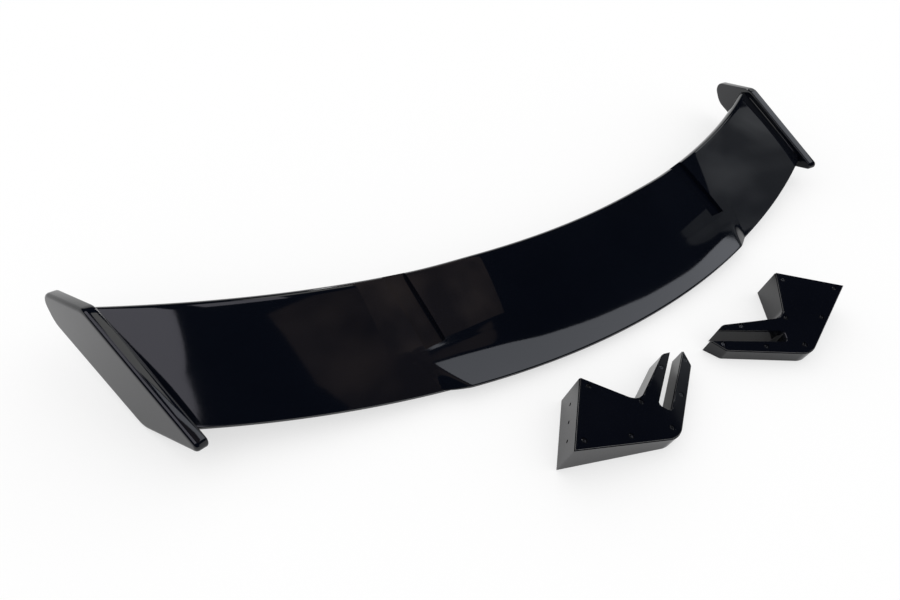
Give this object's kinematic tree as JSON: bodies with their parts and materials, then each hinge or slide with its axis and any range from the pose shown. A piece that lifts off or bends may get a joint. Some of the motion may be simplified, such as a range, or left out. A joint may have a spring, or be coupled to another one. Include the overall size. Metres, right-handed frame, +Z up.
{
  "type": "car rear spoiler",
  "caption": "Bowed hatchback rear wing with end plates and an upturned trailing lip, lying with its forked, screw-covered support legs taken off beside it.",
  "frame": {"origin": "on the floor, under the middle of the box round the wing and both legs", "axes": "+X across the car to the right, +Y forward towards the leading edge, +Z up from the floor on which the set lies"},
  "size_m": [1.291, 0.5378, 0.1011],
  "materials": {
    "wing_gloss": "moulded ABS, gloss black lacquer",
    "leg_gloss": "moulded ABS, gloss black lacquer",
    "cover_gloss": "moulded ABS, gloss black lacquer"
  },
  "bodies": {
    "root": {"wing": "wing_gloss", "leg_body_left": "leg_gloss", "leg_body_right": "leg_gloss", "leg_cover_left": "cover_gloss", "leg_cover_right": "cover_gloss"}
  },
  "joints": []
}
